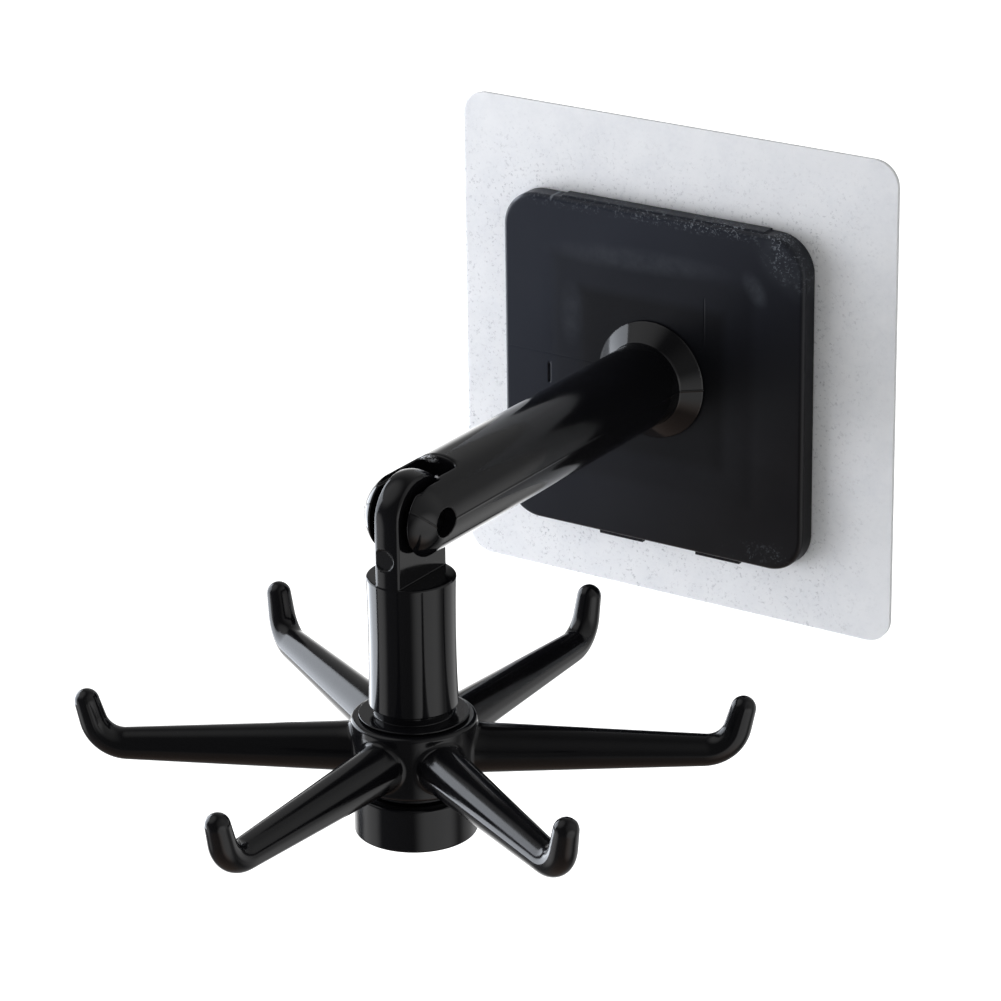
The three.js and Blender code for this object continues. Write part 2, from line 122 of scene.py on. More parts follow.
# Matt surfaces see an even room, and the camera sees plain white. The table is of warm wood,
# which tints what the undersides mirror.
ray = add(room, "ShaderNodeLightPath").outputs
level = add(room, "ShaderNodeMix", {
    "Factor": ray["Is Diffuse Ray"], "A": mirrored, "B": 0.45}, data_type="FLOAT")
seen_plainly = add(room, "ShaderNodeMath", {
    0: ray["Is Camera Ray"], 1: ray["Is Transmission Ray"]}, operation="MAXIMUM")
level = add(room, "ShaderNodeMix", {
    "Factor": seen_plainly, "A": level, "B": 1.0}, data_type="FLOAT")
warmth = glow(room, TABLE, 10, 50, 1)
tint = add(room, "ShaderNodeMix", {
    "Factor": warmth, "A": linear("#FFFFFF"), "B": linear("#FFE0CC")}, data_type="RGBA")
tint = add(room, "ShaderNodeMix", {
    "Factor": seen_plainly, "A": tint, "B": linear("#FFFFFF")}, data_type="RGBA")
around = add(room, "ShaderNodeBackground", {"Color": tint, "Strength": level})
add(room, "ShaderNodeOutputWorld", {"Surface": around})

# Matt white paint looks like plain paper. The camera sees it as pure white, with the shadow.
FLOOR_HALF, FLOOR_HEIGHT = 6, -0.35
floor_mesh = bpy.data.meshes.new("floor")
floor_mesh.from_pydata(
    [(x * FLOOR_HALF, y * FLOOR_HALF, FLOOR_HEIGHT)
     for x, y in ((-1, -1), (1, -1), (1, 1), (-1, 1))], [], [(0, 1, 2, 3)])
floor = bpy.data.objects.new("floor", floor_mesh)
bpy.context.scene.collection.objects.link(floor)
paint = bpy.data.materials.new("matt_white_floor_paint")
tree = blank_tree(paint)
ray = add(tree, "ShaderNodeLightPath").outputs
shown = add(tree, "ShaderNodeMath", {
    0: ray["Is Camera Ray"], 1: ray["Is Transmission Ray"]}, operation="MAXIMUM")
matt = add(tree, "ShaderNodeBsdfDiffuse", {"Color": linear("#E8E8E6")})
white = add(tree, "ShaderNodeEmission", {"Color": linear("#FFFFFF"), "Strength": shown})
both = add(tree, "ShaderNodeAddShader", {0: matt, 1: white})
add(tree, "ShaderNodeOutputMaterial", {"Surface": both})
floor_mesh.materials.append(paint)
floor.visible_glossy = False


def soft_box(name, place, aim, size, brightness, colour, in_gloss=True):
    """A flat lamp that points at a place, as wide and high as given, unseen by the camera."""
    data = bpy.data.lights.new(name, "AREA")
    data.shape = "RECTANGLE"
    data.size, data.size_y = size
    data.energy = brightness * size[0] * size[1] * math.pi
    data.color = linear(colour)[:3]
    lamp = bpy.data.objects.new(name, data)
    lamp.location = place
    lamp.rotation_euler = (Vector(aim) - lamp.location).to_track_quat("-Z", "Y").to_euler()
    lamp.visible_camera = False
    lamp.visible_glossy = in_gloss
    bpy.context.scene.collection.objects.link(lamp)


# The key light draws the highlights. The second one only lights the sheet and the base evenly.
soft_box("key_soft_box", (-0.50, -0.055, -0.005), (0.2, -0.055, -0.005), (0.49, 0.53),
         5.6, "#F0F6FF")
soft_box("sheet_light", (-0.50, -0.36, -0.14), (0, 0, 0), (0.4, 0.4),
         6.8, "#F6F8FF", in_gloss=False)


# Adhesive sheet: a frosted PVC film with a clear sticky coat on its back, die-cut as one with
# round corners. The coat holds the whole hook on the wall, and the base is glued to the film.
MM = 0.001
SHEET_SIDE, SHEET_CORNER, SHEET_MIDDLE = 80, 4.2, (2.1, 1.8)
FILM_THICK, FILM_EDGE = 0.3, 0.06
COAT_THICK, COAT_EDGE, COAT_INSET = 0.5, 0.1, 0.03


def mottle(tree, size_mm, detail=2, roughness=0.5, between=None, to=(0, 1), stretch=(1, 1, 1)):
    """Random patches about size_mm wide on the piece.

    What lies between two of their levels is spread to a new range, if these are given.
    """
    spot = add(tree, "ShaderNodeTexCoord").outputs["Object"]
    laid = add(tree, "ShaderNodeMapping", {"Vector": spot, "Scale": stretch})
    patches = add(tree, "ShaderNodeTexNoise", {
        "Vector": laid, "Scale": 1000 / size_mm, "Detail": detail, "Roughness": roughness})
    if between is None:
        return patches
    return add(tree, "ShaderNodeMapRange", {
        "Value": patches, "From Min": between[0], "From Max": between[1],
        "To Min": to[0], "To Max": to[1]})


# Frosted PVC is milky: light goes a little way in, so that its edges glow and its face is soft
# white with cloudy spots. Grey specks are air under the film, most of them to the left of the
# base and below it. The frosting is drawn coarser than the real one, so that it shows.
film = bpy.data.materials.new("frosted_pvc_film")
tree = blank_tree(film)
clouds = mottle(tree, 9, 4, 0.6, (0.35, 0.7))
grains = mottle(tree, 0.9, 2, 0.6, (0.3, 0.7), (0.5, 1))
cloudy = add(tree, "ShaderNodeMath", {0: clouds, 1: grains}, operation="MULTIPLY")
milk = add(tree, "ShaderNodeMix", {
    "Factor": cloudy, "A": linear("#F8F9FB"), "B": linear("#E9EBEF")}, data_type="RGBA")
spot = add(tree, "ShaderNodeTexCoord").outputs["Object"]
place = add(tree, "ShaderNodeSeparateXYZ", {"Vector": spot}).outputs
up_or_right = add(tree, "ShaderNodeMath", {0: place["X"], 1: place["Z"]}, operation="MAXIMUM")
air = add(tree, "ShaderNodeMapRange", {
    "Value": up_or_right, "From Min": 28 * MM, "From Max": 41 * MM, "To Min": 1, "To Max": 0.1})
specks = mottle(tree, 0.55, 3, 0.7, (0.56, 0.68))
groups = mottle(tree, 3.5, 3, 0.6, (0.35, 0.65), (0.35, 1))
for share in (specks, groups):
    air = add(tree, "ShaderNodeMath", {0: air, 1: share}, operation="MULTIPLY")
milk = add(tree, "ShaderNodeMix", {
    "Factor": air, "A": milk, "B": linear("#BDBFC3")}, data_type="RGBA")
pebbles = add(tree, "ShaderNodeBump", {
    "Height": mottle(tree, 0.7), "Distance": 0.02 * MM, "Strength": 0.5})
swell = add(tree, "ShaderNodeBump", {
    "Height": mottle(tree, 5), "Distance": 0.06 * MM, "Strength": 0.4, "Normal": pebbles})
body = add(tree, "ShaderNodeBsdfPrincipled", {
    "Base Color": milk, "Roughness": 0.5, "IOR": 1.46, "Normal": swell,
    "Subsurface Weight": 0.7, "Subsurface Radius": (1, 1, 1), "Subsurface Scale": 1.5 * MM})
add(tree, "ShaderNodeOutputMaterial", {"Surface": body})

# Clear acrylic adhesive is greyish and glossy from the back, with a slightly uneven coat.
sticky = bpy.data.materials.new("clear_acrylic_adhesive")
tree = blank_tree(sticky)
grey = add(tree, "ShaderNodeMix", {
    "Factor": mottle(tree, 6, 3), "A": linear("#E4E7EA"), "B": linear("#D6D9DC")},
    data_type="RGBA")
uneven = add(tree, "ShaderNodeBump", {
    "Height": mottle(tree, 3), "Distance": 0.05 * MM, "Strength": 0.4})
body = add(tree, "ShaderNodeBsdfPrincipled", {
    "Base Color": grey, "Roughness": 0.12, "IOR": 1.48, "Normal": uneven,
    "Subsurface Weight": 0.9, "Subsurface Radius": (1, 1, 1), "Subsurface Scale": 2 * MM})
add(tree, "ShaderNodeOutputMaterial", {"Surface": body})


def piece(name, mesh):
    """A new object at the origin."""
    made = bpy.data.objects.new(name, mesh)
    bpy.context.scene.collection.objects.link(made)
    return made


def finish_as(made, material, body, node):
    """Gives a new piece its material and its body, and hides the CAD solid that it stands for."""
    made.data.materials.clear()
    made.data.materials.append(material)
    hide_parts(node)
    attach(made, body)


def slab(name, side, corner, front, back, edge):
    """A square sheet along the wall, with round corners and a small round edge on each face."""
    corner_steps, edge_steps = 16, 5
    points, faces = [], []

    def outline(inset, depth):
        first = len(points)
        for across, up, start in ((1, 1, 0), (-1, 1, 90), (-1, -1, 180), (1, -1, 270)):
            for i in range(corner_steps + 1):
                angle = math.radians(start + 90 * i / corner_steps)
                x = SHEET_MIDDLE[0] + across * (side / 2 - corner)
                z = SHEET_MIDDLE[1] + up * (side / 2 - corner)
                points.append(((x + (corner - inset) * math.cos(angle)) * MM, depth * MM,
                               (z + (corner - inset) * math.sin(angle)) * MM))
        return list(range(first, len(points)))

    bends = [math.pi / 2 * i / edge_steps for i in range(edge_steps + 1)]
    rings = [outline(edge * (1 - math.sin(a)), front + edge * (1 - math.cos(a))) for a in bends]
    rings += [outline(edge * (1 - math.sin(a)), back - edge * (1 - math.cos(a)))
              for a in reversed(bends)]
    for first, second in zip(rings, rings[1:]):
        for i in range(len(first)):
            k = (i + 1) % len(first)
            faces.append((first[i], second[i], second[k], first[k]))
    faces.append(tuple(rings[0]))
    faces.append(tuple(reversed(rings[-1])))
    mesh = bpy.data.meshes.new(name)
    mesh.from_pydata(points, [], faces)
    mesh.polygons.foreach_set("use_smooth", [True] * (len(faces) - 2) + [False] * 2)
    return piece(name, mesh)


sheet = slab("film_sheet", SHEET_SIDE, SHEET_CORNER,
             -COAT_THICK - FILM_THICK, -COAT_THICK, FILM_EDGE)
finish_as(sheet, film, "fixed_base", "carrier_film")
coat = slab("adhesive_coat", SHEET_SIDE - 2 * COAT_INSET, SHEET_CORNER - COAT_INSET,
            -COAT_THICK, 0, COAT_EDGE)
finish_as(coat, sticky, "fixed_base", "adhesive_layer")


# Base: a shallow ABS cover that is clipped over a rear plate. It is moulded with a satin face,
# sink marks over its inner ribs, a worn ledge along the top and two windows for the latches.

# Sizes are in millimetres. Places across and up start from the arm's axis, or for the ledge,
# ribs and windows from the cover's middle, and fronts and backs are along the arm.
COVER_SIDE, COVER_CORNER, COVER_EDGE, COVER_MIDDLE = 55.9, 6.2, 0.8, (-0.2, -0.4)
COVER_BACK, COVER_FRONT, COVER_WALL, COVER_FACE = -0.8, -4.2, 1.5, 1.6
RIB_SQUARES, RIB_HALF, RIB_BACK = ((18.7, 2), (13.3, 1.5)), 0.5, -2.0
LEDGE_MIDDLE, LEDGE_HALF, LEDGE_BOTTOM, LEDGE_TOP, LEDGE_FRONT = 1.5, 18.8, 27.2, 28.25, -3.3
WINDOWS, WINDOW_HALF, WINDOW_MIDDLE, WINDOW_TOP = (-6.7, 11.5), (4.4, 0.85), -2.25, -26
JOURNAL_HOLE_RADIUS = 5.8
KNIT_LINE_UP, KNIT_LINE_END = 0.85, -10
SCRATCH, SCRATCH_HALF = (9.7, 11.2), 3.9
SLIT, SLIT_HALF, SLIT_FLOOR = (-19.5, -2.5), (0.25, 1.6), -3.9


def round_and(a, b, radius):
    """Keeps what lies in both shapes, with their common edge rounded."""
    over = np.hypot(np.maximum(a + radius, 0), np.maximum(b + radius, 0))
    return np.minimum(np.maximum(a, b), -radius) + over


def pad(u, v, half_u, half_v, radius):
    """Distance to a rectangle with round corners."""
    p = np.abs(u) - half_u + radius
    q = np.abs(v) - half_v + radius
    return np.hypot(np.maximum(p, 0), np.maximum(q, 0)) + np.minimum(np.maximum(p, q), 0) - radius


def groove(off_line, depth, width):
    """A fine groove or a soft dip, as the depth to add to a face."""
    return depth * np.exp(-(off_line / width) ** 2)


def ruler(*stops):
    """Grid lines from stop to stop, with the spacing that stands between them, in millimetres."""
    lines = [stops[0]]
    for start, step, stop in zip(stops[:-2:2], stops[1:-1:2], stops[2::2]):
        count = max(1, math.ceil((stop - start) / step - 1e-9))
        lines.extend(start + (stop - start) * (i + 1) / count for i in range(count))
    return np.array(lines)


def slope(distance, points):
    """How fast a distance rises along each axis, which points out of the shape."""
    reach = 0.004
    steps = np.eye(3) * reach
    rise = [distance(*(points + s).T) - distance(*(points - s).T) for s in steps]
    return np.stack(rise, 1) / (2 * reach)


def crossings_along(axis, corners, value, distance):
    """Where the surface cuts the grid's edges along one axis, with the four cells round each."""
    near, far = [slice(None)] * 3, [slice(None)] * 3
    near[axis], far[axis] = slice(0, -1), slice(1, None)
    near, far = tuple(near), tuple(far)
    at = np.argwhere((value[near] < 0) != (value[far] < 0))
    starts_inside = value[near][tuple(at.T)] < 0
    start, end = corners[near][tuple(at.T)], corners[far][tuple(at.T)]
    low, high = np.zeros(len(at)), np.ones(len(at))
    halvings = 12
    for _ in range(halvings):
        share = (low + high) / 2
        same = (distance(*(start + (end - start) * share[:, None]).T) < 0) == starts_inside
        low, high = np.where(same, share, low), np.where(same, high, share)
    point = start + (end - start) * share[:, None]
    one, two = [i for i in range(3) if i != axis]
    ring = np.stack([at] * 4)
    for cell, (a, b) in zip(ring, ((1, 1), (0, 1), (0, 0), (1, 0))):
        cell[:, one] -= a
        cell[:, two] -= b
    within = ((ring >= 0) & (ring < np.array(value.shape) - 1)).all((0, 2))
    return ring[:, within], point[within], starts_inside[within]


def skin(name, distance, xs, ys, zs):
    """The surface where a distance in millimetres is zero, as a mesh in metres.

    Each grid cell that the surface crosses gives one point. It lies where the planes of the
    surface at the cell's edges meet, so that rims stay clean, and is then moved onto the surface.
    """
    corners = np.stack(np.meshgrid(xs, ys, zs, indexing="ij"), -1)
    value = distance(corners[..., 0], corners[..., 1], corners[..., 2])
    found = [crossings_along(axis, corners, value, distance) for axis in range(3)]
    used = np.zeros(np.array(value.shape) - 1, bool)
    for ring, _, _ in found:
        used[tuple(ring.reshape(-1, 3).T)] = True
    count = used.sum()
    number = np.full(used.shape, -1)
    number[used] = np.arange(count)
    hits, middle, lean = np.zeros(count), np.zeros((count, 3)), np.zeros((count, 3))
    planes, pull = np.zeros((count, 3, 3)), np.zeros((count, 3))
    faces = []
    for axis, (ring, point, starts_inside) in enumerate(found):
        way = slope(distance, point)
        way /= np.maximum(np.linalg.norm(way, axis=1), 1e-6)[:, None]
        ring = np.stack([number[tuple(cell.T)] for cell in ring], 1)
        for cell in ring.T:
            np.add.at(hits, cell, 1)
            np.add.at(middle, cell, point)
            np.add.at(planes, cell, way[:, :, None] * way[:, None, :])
            np.add.at(pull, cell, way * (way * point).sum(1)[:, None])
            np.add.at(lean, cell, way)
        outward = starts_inside != (axis == 1)
        faces.append(np.where(outward[:, None], ring, ring[:, ::-1]))
    middle /= hits[:, None]
    off = pull - np.einsum("nij,nj->ni", planes, middle)
    hold = 0.08 * np.eye(3)  # keeps a point near the middle where its planes hardly differ
    meet = middle + np.linalg.solve(planes + hold, off[..., None])[..., 0]
    cell = np.argwhere(used)
    points = np.stack([
        np.clip(meet[:, i], line[cell[:, i]], line[cell[:, i] + 1])
        for i, line in enumerate((xs, ys, zs))], 1)
    for _ in range(3):
        rise = slope(distance, points)
        steep = np.maximum((rise ** 2).sum(1), 0.25)
        points = points - rise * (np.clip(distance(*points.T), -0.1, 0.1) / steep)[:, None]
    # Where the planes differ by more than about 28 degrees, the point is on a rim.
    on_rim = np.linalg.norm(lean, axis=1) < 0.97 * hits
    way = np.where(on_rim[:, None], lean, slope(distance, points))
    way /= np.linalg.norm(way, axis=1)[:, None]
    mesh = bpy.data.meshes.new(name)
    mesh.from_pydata(points * MM, [], np.concatenate(faces).tolist())
    mesh.polygons.foreach_set("use_smooth", [True] * len(mesh.polygons))
    mesh.normals_split_custom_set_from_vertices(way)
    return piece(name, mesh)


def marks(tree, *ovals):
    """Soft oval marks, each with its centre, its turn, its half sizes and its strength.

    Centre and half sizes are in millimetres across and up. A mark on the arm also has its
    middle and half size along the arm.
    """
    spot = add(tree, "ShaderNodeTexCoord").outputs["Object"]
    marked = 0
    for centre, turn, halves, strength, *along in ovals:
        middle, half = along or (0, 1000)
        moved = add(tree, "ShaderNodeMapping", {
            "Vector": spot, "Location": (centre[0] * MM, middle * MM, centre[1] * MM),
            "Rotation": (0, math.radians(turn), 0),
            "Scale": (halves[0] * MM, half * MM, halves[1] * MM)}, vector_type="TEXTURE")
        oval = add(tree, "ShaderNodeTexGradient", {"Vector": moved}, gradient_type="SPHERICAL")
        soft = add(tree, "ShaderNodeMapRange", {
            "Value": oval.outputs["Fac"], "From Max": 0.6, "To Max": strength})
        marked = add(tree, "ShaderNodeMath", {0: marked, 1: soft}, operation="ADD")
    return marked


# Satin ABS mirrors the room dimly. Its colour is painted lighter and bluish to the top left, as a
# painted sheen, and painted darker within the two squares of ribs, as painted shade where the face
# has sunk. Its grain is drawn coarser than the real one, and its specular level is matched to the
# dim sheen in the photo.
satin = bpy.data.materials.new("satin_moulded_abs")
tree = blank_tree(satin)
spot = add(tree, "ShaderNodeTexCoord").outputs["Object"]
place = add(tree, "ShaderNodeSeparateXYZ", {"Vector": spot}).outputs
# Painted sheen: the colour is lighter and bluish towards the top left.
across = add(tree, "ShaderNodeMath", {0: place["Z"], 1: place["X"]}, operation="SUBTRACT")
painted_sheen_to_top_left = add(tree, "ShaderNodeMapRange", {
    "Value": across, "From Min": -35 * MM, "From Max": 30 * MM})
black = add(tree, "ShaderNodeMix", {
    "Factor": painted_sheen_to_top_left, "A": linear("#111012"), "B": linear("#1D2028")}, data_type="RGBA")
# Painted shade: the face is darker within the two squares of ribs, where it has sunk.
far_x = add(tree, "ShaderNodeMath", {0: place["X"]}, operation="ABSOLUTE")
far_z = add(tree, "ShaderNodeMath", {0: place["Z"]}, operation="ABSOLUTE")
square = add(tree, "ShaderNodeMath", {0: far_x, 1: far_z}, operation="MAXIMUM")
painted_rib_shade = 0
for starts, stops, share in ((12.4, 14.2, 0.42), (17.6, 19.6, 0.33)):
    within = add(tree, "ShaderNodeMapRange", {
        "Value": square, "From Min": starts * MM, "From Max": stops * MM,
        "To Min": share, "To Max": 0})
    painted_rib_shade = add(tree, "ShaderNodeMath", {0: painted_rib_shade, 1: within}, operation="ADD")
black = add(tree, "ShaderNodeMix", {
    "Factor": painted_rib_shade, "A": black, "B": linear("#08080A")}, data_type="RGBA")

# The face is lighter grey in four mottled patches. Packing has worn the ledge and the corners at
# the right to a lighter grey, and at the top left there are a nick and a painted highlight on the
# rounded corner.
lighter_patches = marks(
    tree, ((18.9, 18.4), 57, (3.6, 2), 0.6), ((-3, 19.5), -2, (19, 2.4), 0.35),
    ((-15.2, 8.5), 90, (6, 2.4), 0.35), ((24.5, 24), 50, (8, 5), 0.4))
mottled_patches = add(tree, "ShaderNodeMath", {
    0: lighter_patches, 1: mottle(tree, 2.5, 4, 0.65, (0.3, 0.7), (0.2, 1))}, operation="MULTIPLY")
black = add(tree, "ShaderNodeMix", {
    "Factor": mottled_patches, "A": black, "B": linear("#3A3D42")}, data_type="RGBA")
near_top = add(tree, "ShaderNodeMapRange", {
    "Value": place["Z"], "From Min": 25.6 * MM, "From Max": 27.6 * MM})
to_right = add(tree, "ShaderNodeMapRange", {
    "Value": place["X"], "From Min": -18 * MM, "From Max": 10 * MM, "To Min": 0.3})
on_ledge = add(tree, "ShaderNodeMath", {0: near_top, 1: to_right}, operation="MULTIPLY")
on_corners = marks(tree, ((24.5, 25), 48, (7.5, 4.5), 0.8), ((20, -26), -5, (8, 2.5), 0.3))
wear = add(tree, "ShaderNodeMath", {0: on_ledge, 1: on_corners}, operation="ADD")
scuffs = mottle(tree, 0.4, 2, 0.7, (0.55, 0.62))
groups = mottle(tree, 4, between=(0.35, 0.6))
for share in (scuffs, groups):
    wear = add(tree, "ShaderNodeMath", {0: wear, 1: share}, operation="MULTIPLY")
# A painted highlight on the rounded top-left corner, and a nick on the top edge, both lighter
# grey.
corner_glint_and_nick = marks(tree, ((-25.3, 26.8), -45, (2.4, 0.7), 1), ((-19, 28), 90, (1.3, 0.35), 1))
wear_and_glint = add(tree, "ShaderNodeMath", {0: wear, 1: corner_glint_and_nick}, operation="ADD")
black = add(tree, "ShaderNodeMix", {
    "Factor": wear_and_glint, "A": black, "B": linear("#6C7076")}, data_type="RGBA")
grain = add(tree, "ShaderNodeBump", {
    "Height": mottle(tree, 0.35, 2, 0.6), "Distance": 0.006 * MM, "Strength": 0.5})
swell = add(tree, "ShaderNodeBump", {
    "Height": mottle(tree, 11), "Distance": 0.05 * MM, "Strength": 0.5, "Normal": grain})
body = add(tree, "ShaderNodeBsdfPrincipled", {
    "Base Color": black, "Roughness": mottle(tree, 14, 3, 0.55, (0.3, 0.7), (0.34, 0.42)),
    "IOR": 1.5, "Specular IOR Level": 0.15, "Normal": swell})
add(tree, "ShaderNodeOutputMaterial", {"Surface": body})


def cover_distance(x, y, z):
    """Distance to the cover's surface in millimetres, negative inside the plastic."""
    u, w = x - COVER_MIDDLE[0], z - COVER_MIDDLE[1]
    half = COVER_SIDE / 2
    ribs = np.inf
    for rib_half, rib_corner in RIB_SQUARES:
        ribs = np.minimum(ribs, np.abs(pad(u, w, rib_half, rib_half, rib_corner)))
    on_face = y < COVER_FRONT + 0.2
    knit_line = groove(z - KNIT_LINE_UP, 0.03, 0.14) * (x < KNIT_LINE_END) * on_face
    scratch = groove(x - SCRATCH[0], 0.03, 0.12) * (np.abs(z - SCRATCH[1]) < SCRATCH_HALF)
    sink_marks = groove(ribs, 0.02, 1.2)
    front = COVER_FRONT - y + sink_marks + knit_line + scratch * on_face
    shell = round_and(pad(u, w, half, half, COVER_CORNER), front, COVER_EDGE)
    shell = round_and(shell, y - COVER_BACK, 0.08)
    inner = half - COVER_WALL
    hollow = np.maximum(pad(u, w, inner, inner, COVER_CORNER - COVER_WALL),
                        COVER_FRONT + COVER_FACE - y)
    hollow = np.maximum(hollow, -np.maximum(ribs - RIB_HALF, y - RIB_BACK))
    ledge = round_and(np.abs(u - LEDGE_MIDDLE) - LEDGE_HALF, w - LEDGE_TOP, 0.12)
    ledge = round_and(round_and(ledge, LEDGE_FRONT - y, 0.12), y - COVER_BACK, 0.08)
    shell = np.minimum(shell, np.maximum(ledge, LEDGE_BOTTOM - w))
    shell = round_and(shell, -hollow, 0.05)
    for across in WINDOWS:
        window = np.maximum(np.abs(u - across) - WINDOW_HALF[0],
                            np.abs(y - WINDOW_MIDDLE) - WINDOW_HALF[1])
        shell = round_and(shell, -np.maximum(window, w - WINDOW_TOP), 0.08)
    slit = np.maximum(pad(x - SLIT[0], z - SLIT[1], *SLIT_HALF, 0.2), y - SLIT_FLOOR)
    shell = round_and(shell, -slit, 0.06)
    return round_and(shell, JOURNAL_HOLE_RADIUS - np.hypot(x, z), 0.15)


# The grid is fine at the edges, the slit, the scratch, the knit line and the journal's hole.
cover = skin(
    "latched_cover", cover_distance,
    ruler(-28.4, 0.16, -26.9, 0.5, -20.1, 0.12, -18.9, 0.5, -6.4, 0.25, -5,
          0.5, 5, 0.25, 6.4, 0.5, 9.2, 0.1, 10.2, 0.5, 26.4, 0.16, 28.0),
    ruler(-4.36, 0.14, -3.1, 0.2, -0.64),
    ruler(-28.6, 0.16, -27.1, 0.5, -6.4, 0.25, -3.7, 0.5, 0.3, 0.1, 1.4,
          0.5, 5, 0.25, 6.4, 0.5, 26.2, 0.16, 28.1))
finish_as(cover, satin, "fixed_base", "base_cover")
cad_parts["base_rear_plate"].material_slots[0].material = satin


# Arm: one ABS moulding with a conical foot that turns on the base, a round bar, and a fork at
# its free end. It is highly polished, with a fine parting line along both of its sides, and
# torn burrs at the end of the fork's slot. Sizes are in millimetres, from the wall and the axis.
ARM_RADIUS, PIN, PIN_HOLE_RADIUS = 6.8, -73, 2.25
FOOT_RADIUS, FOOT_BACK, FOOT_SLANT = 9.9, -4.4, (0.63, 0.777)
JOURNAL_RADIUS, JOURNAL_BACK, JOURNAL_FRONT = 5.5, -2.5, -8
SCREW_HOLE_RADIUS, ARM_SCREW_END = 1.6, -13.1
SLOT_HALF, SLOT_END, SLOT_LENGTH, SLOT_EDGE = 3.3, -65.2, 50, 0.4
STEP_HALF, STEP_MIDDLE, STEP_FLOOR = (3.9, 3.0), -73.6, 4.8
BURRS = (  # middle across, along and up, and radius
    (-3.0, -65.3, 5.75, 0.3), (-2.4, -65.3, 6.0, 0.33), (-1.9, -65.3, 6.1, 0.26),
    (-1.3, -65.3, 6.3, 0.28), (-0.4, -65.3, 6.1, 0.18), (0.1, -65.3, 5.6, 0.16),
    (3.35, -70.7, 5.85, 0.25))


def round_or(a, b, radius):
    """Joins two shapes, with the corner between them filled to a radius."""
    under = np.hypot(np.maximum(radius - a, 0), np.maximum(radius - b, 0))
    return np.maximum(np.minimum(a, b), radius) - under


def polished_black(name, roughness, painted_glints=()):
    """Polished black ABS: a mirror-like skin with slow waves and faint dust.

    At the given places the colour is painted near white in ragged flecks, as painted highlights on
    the torn burrs. The specular level is matched to how bright the photo's highlights are.
    """
    made = bpy.data.materials.new(name)
    tree = blank_tree(made)
    dust = mottle(tree, 0.5, 3, 0.7, (0.72, 0.78))
    black = add(tree, "ShaderNodeMix", {
        "Factor": dust, "A": linear("#0C0C0E"), "B": linear("#28292A")}, data_type="RGBA")
    if painted_glints:
        glint_flecks = mottle(tree, 0.3, 2, 0.7, (0.45, 0.55))
        painted_glint_mask = add(tree, "ShaderNodeMath", {
            0: marks(tree, *painted_glints), 1: glint_flecks}, operation="MULTIPLY")
        black = add(tree, "ShaderNodeMix", {
            "Factor": painted_glint_mask, "A": black, "B": linear("#D2D3D6")}, data_type="RGBA")
    waves = add(tree, "ShaderNodeBump", {
        "Height": mottle(tree, 5, 1), "Distance": 0.012 * MM, "Strength": 1})
    haze = add(tree, "ShaderNodeBump", {
        "Height": mottle(tree, 0.6), "Distance": 0.0015 * MM, "Strength": 0.6, "Normal": waves})
    body = add(tree, "ShaderNodeBsdfPrincipled", {
        "Base Color": black, "Roughness": mottle(tree, 7, 2, 0.5, (0.3, 0.7), roughness),
        "IOR": 1.5, "Specular IOR Level": 0.21, "Normal": haze})
    add(tree, "ShaderNodeOutputMaterial", {"Surface": body})
    return made


def arm_distance(x, y, z):
    """Distance to the arm's surface in millimetres, negative inside the plastic."""
    off_axis = np.hypot(x, z)
    bar = np.hypot(off_axis, np.minimum(y - PIN, 0)) - ARM_RADIUS
    parting = z + 0.95 * np.minimum(y + 75.3, 0)  # it turns down over the fork's round end
    cone = (off_axis - FOOT_RADIUS) * FOOT_SLANT[0] - (y - FOOT_BACK) * FOOT_SLANT[1]
    whole = round_or(bar, cone, 0.2) - groove(parting, 0.1, 0.13) * (np.abs(x) > 3.2)
    whole = round_and(whole, y - FOOT_BACK, 0.15)
    journal = round_and(off_axis - JOURNAL_RADIUS, y - JOURNAL_BACK, 0.1)
    whole = np.minimum(whole, np.maximum(journal, JOURNAL_FRONT - y))
    screw_hole = np.maximum(off_axis - SCREW_HOLE_RADIUS, ARM_SCREW_END - y)
    whole = np.maximum(whole, -screw_hole)
    slot = pad(x, y - SLOT_END + SLOT_LENGTH / 2, SLOT_HALF, SLOT_LENGTH / 2, 0.8)
    whole = round_and(whole, -slot, SLOT_EDGE)
    step = np.maximum(pad(x, y - STEP_MIDDLE, *STEP_HALF, 0.3), STEP_FLOOR - z)
    whole = round_and(whole, -step, 0.15)
    for across, along, up, radius in BURRS:
        lump = np.hypot(np.hypot(x - across, z - up), y - along) - radius
        whole = round_or(whole, lump, 0.06)
    return round_and(whole, PIN_HOLE_RADIUS - np.hypot(y - PIN, z), 0.12)


gloss = polished_black("polished_black_abs", (0.08, 0.13))
# The burrs at the end of the slot get painted highlights: near-white flecks in their colour.
gloss_with_painted_glints = polished_black("polished_black_abs_painted_glints", (0.08, 0.13), (
    ((-1.9, 6.1), 0, (2.1, 0.8), 1, -65.5, 0.9), ((3.35, 5.9), 0, (0.5, 0.5), 1, -70.7, 0.5)))

# The grid is fine at the bar's sides, the fork, the burrs, the parting line and the foot.
arm = skin(
    "forked_arm", arm_distance,
    ruler(-10.1, 0.3, -6.9, 0.16, -5.9, 0.22, -4.1, 0.15, -3.0,
          0.6, 3.0, 0.15, 4.1, 0.22, 5.9, 0.16, 6.9, 0.3, 10.1),
    ruler(-80.1, 0.11, -74.9, 0.17, -66.1, 0.1, -64.9,
          2.5, -14.1, 0.5, -12.6, 2.0, -8.6, 0.2, -2.3),
    ruler(-10.1, 0.3, -6.9, 0.22, -0.36, 0.06, 0.36, 0.1, 4.4, 0.2, 6.9, 0.3, 10.1))
finish_as(arm, gloss_with_painted_glints, "swivel_arm", "arm")


